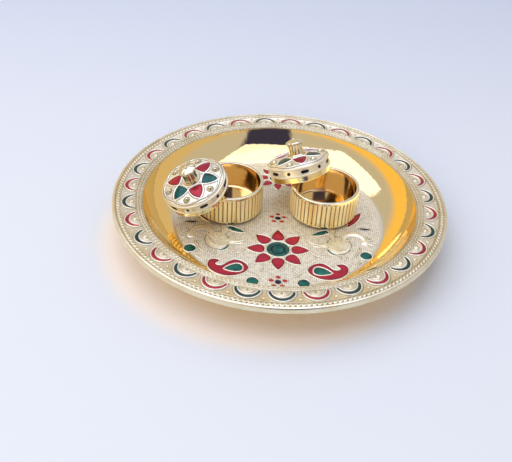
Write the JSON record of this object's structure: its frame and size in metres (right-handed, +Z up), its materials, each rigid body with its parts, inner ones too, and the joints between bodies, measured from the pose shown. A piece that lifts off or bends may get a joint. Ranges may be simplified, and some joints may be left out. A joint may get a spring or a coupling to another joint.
{
  "type": "puja thali",
  "caption": "Round footed puja thali with an enamelled floor and scalloped rim, holding loose reeded bowls whose knobbed lids are propped on their rims.",
  "frame": {"origin": "middle of the foot ring's underside, on the plate's axis", "axes": "+Z up along the plate's axis, -Y towards the front of the pattern, +X to the right of it"},
  "size_m": [0.2, 0.2, 0.0424],
  "materials": {
    "plate_gold": "pale gold mirror plating",
    "bowl_gold": "yellow gold mirror plating",
    "lid_gold": "pale gold mirror plating",
    "knob_gold": "yellow gold mirror plating",
    "red_enamel": "glossy translucent red enamel paint",
    "green_enamel": "glossy translucent green enamel paint",
    "dark_enamel": "glossy dark enamel paint"
  },
  "bodies": {
    "plate": {"thali_plate": "plate_gold", "flower_boss": "green_enamel", "flower_petals": "red_enamel", "back_flower_boss": "green_enamel", "back_flower_petals": "red_enamel", "small_flower_middles": "dark_enamel", "small_flower_petals": "red_enamel", "green_dots": "green_enamel", "paisley_bodies": "red_enamel", "paisley_drops": "green_enamel", "green_leaves": "green_enamel", "green_sickles": "green_enamel", "dark_tips": "dark_enamel", "red_feathers": "red_enamel", "rim_scallops_green": "green_enamel", "rim_scallops_red": "red_enamel"},
    "left_bowl": {"left_bowl": "bowl_gold"},
    "left_lid": {"left_lid_top": "lid_gold", "left_lid_plug": "bowl_gold", "left_lid_knob": "knob_gold", "left_lid_petals_red": "red_enamel", "left_lid_petals_green": "green_enamel", "left_lid_skirt_cells": "dark_enamel"},
    "right_bowl": {"right_bowl": "bowl_gold"},
    "right_lid": {"right_lid_top": "lid_gold", "right_lid_plug": "bowl_gold", "right_lid_knob": "knob_gold", "right_lid_petals_red": "red_enamel", "right_lid_petals_green": "green_enamel", "right_lid_skirt_cells": "dark_enamel"}
  },
  "joints": [
    {"name": "left_bowl_lift", "type": "slide", "parent": "plate", "child": "left_bowl", "axis": [0, 0, 1], "range_m": [0, 0.06]},
    {"name": "left_lid_lift", "type": "slide", "parent": "left_bowl", "child": "left_lid", "axis": [0, 0, 1], "range_m": [0, 0.05]},
    {"name": "right_bowl_lift", "type": "slide", "parent": "plate", "child": "right_bowl", "axis": [0, 0, 1], "range_m": [0, 0.06]},
    {"name": "right_lid_lift", "type": "slide", "parent": "right_bowl", "child": "right_lid", "axis": [0, 0, 1], "range_m": [0, 0.05]}
  ]
}
